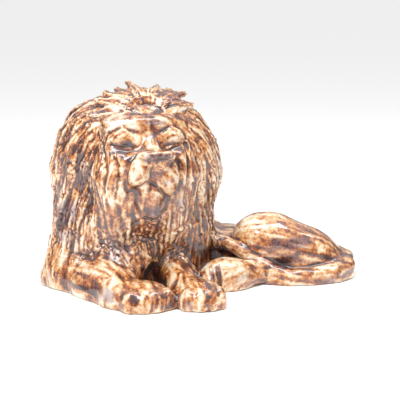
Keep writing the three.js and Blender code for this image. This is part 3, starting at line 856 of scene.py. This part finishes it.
def glaze_material():
    material = bpy.data.materials.new("mottled_glaze")
    material.use_nodes = True
    nodes, links = material.node_tree.nodes, material.node_tree.links
    nodes.clear()

    def node(kind, **settings):
        made = nodes.new(kind)
        for key, value in settings.items():
            setattr(made, key, value)
        return made

    def math_node(operation, a, b=0.0, clamp=False):
        made = node("ShaderNodeMath", operation=operation, use_clamp=clamp)
        for socket, value in zip(made.inputs, (a, b)):
            if hasattr(value, "links"):
                links.new(value, socket)
            else:
                socket.default_value = value
        return made.outputs[0]

    def stored(name):
        return node("ShaderNodeAttribute", attribute_name=name).outputs["Fac"]

    def mottling(size, detail=3.0, roughness=0.6, offset=0.0):
        place = node("ShaderNodeMapping")
        place.inputs["Location"].default_value = (offset, offset * 0.7, -offset)
        links.new(coordinates, place.inputs["Vector"])
        made = node("ShaderNodeTexNoise")
        made.inputs["Scale"].default_value = 1 / size
        made.inputs["Detail"].default_value = detail
        made.inputs["Roughness"].default_value = roughness
        made.inputs["Distortion"].default_value = 0.4
        links.new(place.outputs[0], made.inputs["Vector"])
        return math_node("SUBTRACT", made.outputs["Fac"], 0.5)

    def ramp(factor, stops):
        made = node("ShaderNodeValToRGB")
        made.color_ramp.interpolation = "EASE"
        while len(made.color_ramp.elements) < len(stops):
            made.color_ramp.elements.new(0.5)
        for element, (position, colour) in zip(made.color_ramp.elements, stops):
            element.position = position
            element.color = (*colour, 1)
        links.new(factor, made.inputs["Fac"])
        return made.outputs["Color"]

    def mixed(factor, first, second):
        made = node("ShaderNodeMix", data_type="RGBA")
        for name, value in (("Factor", factor), ("A", first), ("B", second)):
            usable = [s for s in made.inputs if s.name == name and s.enabled]
            socket = next(s for s in usable if s.type in ("RGBA", "VALUE"))
            if hasattr(value, "links"):
                links.new(value, socket)
            elif name == "Factor":
                socket.default_value = value
            else:
                socket.default_value = (*value, 1)
        return next(s for s in made.outputs if s.type == "RGBA")

    coordinates = node("ShaderNodeTexCoord").outputs["Object"]
    ridge, streak, band, dark_glaze_and_shade = (stored(name) for name in ("ridge", "streak", "band", "dark_glaze_and_shade"))
    blotch = mottling(0.020, detail=5)
    speckle = mottling(0.0042, detail=4, roughness=0.72, offset=3.1)
    patch = mottling(0.045, detail=4, offset=7.7)
    # How much each of them lightens the glaze, and where it starts
    # The last term darkens: dark glaze on the nose, and painted shade in the fold and the hollows
    terms = [(ridge, 0.155), (streak, 0.15), (band, 0.11), (blotch, 0.85), (speckle, 1.1), (dark_glaze_and_shade, -0.3)]
    tone = 0.45
    for value, weight in terms:
        tone = math_node("ADD", math_node("MULTIPLY", value, weight), tone)
    glaze = ramp(
        tone,
        [
            (0.10, (0.050, 0.018, 0.015)),  # nearly black
            (0.28, (0.150, 0.040, 0.020)),  # dark brown
            (0.42, (0.43, 0.125, 0.030)),  # orange brown
            (0.57, (0.66, 0.32, 0.105)),  # orange tan
            (0.74, (0.80, 0.62, 0.41)),  # pale tan
            (0.95, (0.88, 0.79, 0.66)),  # cream
        ],
    )
    mauve = ramp(tone, [(0.2, (0.060, 0.023, 0.023)), (0.5, (0.19, 0.095, 0.095)), (0.8, (0.45, 0.33, 0.33))])
    pooled = math_node("ADD", math_node("MULTIPLY", patch, 4.0), math_node("MULTIPLY", stored("mauve"), 0.9))
    pooled = math_node("ADD", pooled, math_node("MULTIPLY", ridge, -0.12))
    pooled = math_node("ADD", pooled, math_node("MULTIPLY", speckle, 2.2))
    pooled = math_node("MULTIPLY", math_node("SUBTRACT", pooled, 0.35), 2.0, clamp=True)
    glaze = mixed(math_node("MULTIPLY", pooled, 0.85), glaze, mauve)

    shader = node("ShaderNodeBsdfPrincipled")
    links.new(glaze, shader.inputs["Base Color"])
    roughness = math_node("ADD", math_node("MULTIPLY", speckle, 0.35), 0.3, clamp=True)
    links.new(roughness, shader.inputs["Roughness"])
    shader.inputs["IOR"].default_value = 1.55
    shader.inputs["Coat Weight"].default_value = 1.0
    shader.inputs["Coat Roughness"].default_value = 0.045
    shader.inputs["Coat IOR"].default_value = 1.68
    bump = node("ShaderNodeBump")
    bump.inputs["Strength"].default_value = 0.2
    bump.inputs["Distance"].default_value = 0.0012
    links.new(math_node("ADD", speckle, math_node("MULTIPLY", streak, 0.2)), bump.inputs["Height"])
    links.new(bump.outputs[0], shader.inputs["Normal"])
    out = node("ShaderNodeOutputMaterial")
    links.new(shader.outputs[0], out.inputs["Surface"])
    return material


thinned.materials.append(glaze_material())


# Camera, floor and light

camera_data = bpy.data.cameras.new("camera")
camera_data.sensor_width = 36
camera_data.lens = camera_data.sensor_width * FOCAL_LENGTH
camera = bpy.data.objects.new("camera", camera_data)
bpy.context.collection.objects.link(camera)
target = Vector((-origin[0] * scale, -origin[1] * scale, CAMERA_AIM * scale))
back = Vector((0, -math.cos(CAMERA_RISE), math.sin(CAMERA_RISE)))
camera.location = target + CAMERA_DISTANCE * scale * back
camera.rotation_euler = (target - camera.location).to_track_quat("-Z", "Y").to_euler()
bpy.context.scene.camera = camera

floor_mesh = bpy.data.meshes.new("floor")
floor_corners = [(x * FLOOR_REACH, y * FLOOR_REACH, 0) for x, y in ((-1, -1), (1, -1), (1, 1), (-1, 1))]
floor_mesh.from_pydata(floor_corners, [], [(0, 1, 2, 3)])
floor = bpy.data.objects.new("floor", floor_mesh)
bpy.context.collection.objects.link(floor)
pale = bpy.data.materials.new("pale_floor")
pale.use_nodes = True
pale_shader = pale.node_tree.nodes["Principled BSDF"]
pale_shader.inputs["Base Color"].default_value = (0.95, 0.95, 0.95, 1)
pale_shader.inputs["Roughness"].default_value = 1
pale_shader.inputs["Specular IOR Level"].default_value = 0
floor_mesh.materials.append(pale)


def softbox(name, place, watts, width, height, aim=(0, 0, 0.1)):
    data = bpy.data.lights.new(name, "AREA")
    data.shape = "RECTANGLE"
    data.energy, data.size, data.size_y = watts, width, height
    light = bpy.data.objects.new(name, data)
    light.location = place
    light.rotation_euler = (Vector(aim) - light.location).to_track_quat("-Z", "Y").to_euler()
    bpy.context.collection.objects.link(light)


# A small light at the left front, and a long one overhead whose reflection crosses the haunch
softbox("key", (-0.8, -1.1, 1.3), 11, 0.35, 0.5)
softbox("strip", (0.1, -0.35, 1.6), 18, 2.2, 0.3)
world = bpy.data.worlds.new("studio")
bpy.context.scene.world = world
world.use_nodes = True
sky = world.node_tree
direction = sky.nodes.new("ShaderNodeTexCoord")
parts = sky.nodes.new("ShaderNodeSeparateXYZ")
sky.links.new(direction.outputs["Generated"], parts.inputs[0])
brightness = sky.nodes.new("ShaderNodeMapRange")
brightness.inputs["From Min"].default_value = -0.05
brightness.inputs["From Max"].default_value = 0.9
brightness.inputs["To Min"].default_value = 0.05
brightness.inputs["To Max"].default_value = 1.2
sky.links.new(parts.outputs["Z"], brightness.inputs["Value"])
sky.links.new(brightness.outputs[0], sky.nodes["Background"].inputs["Strength"])
sky.nodes["Background"].inputs["Color"].default_value = (1, 1, 1, 1)
bpy.context.scene.view_settings.view_transform = "Standard"
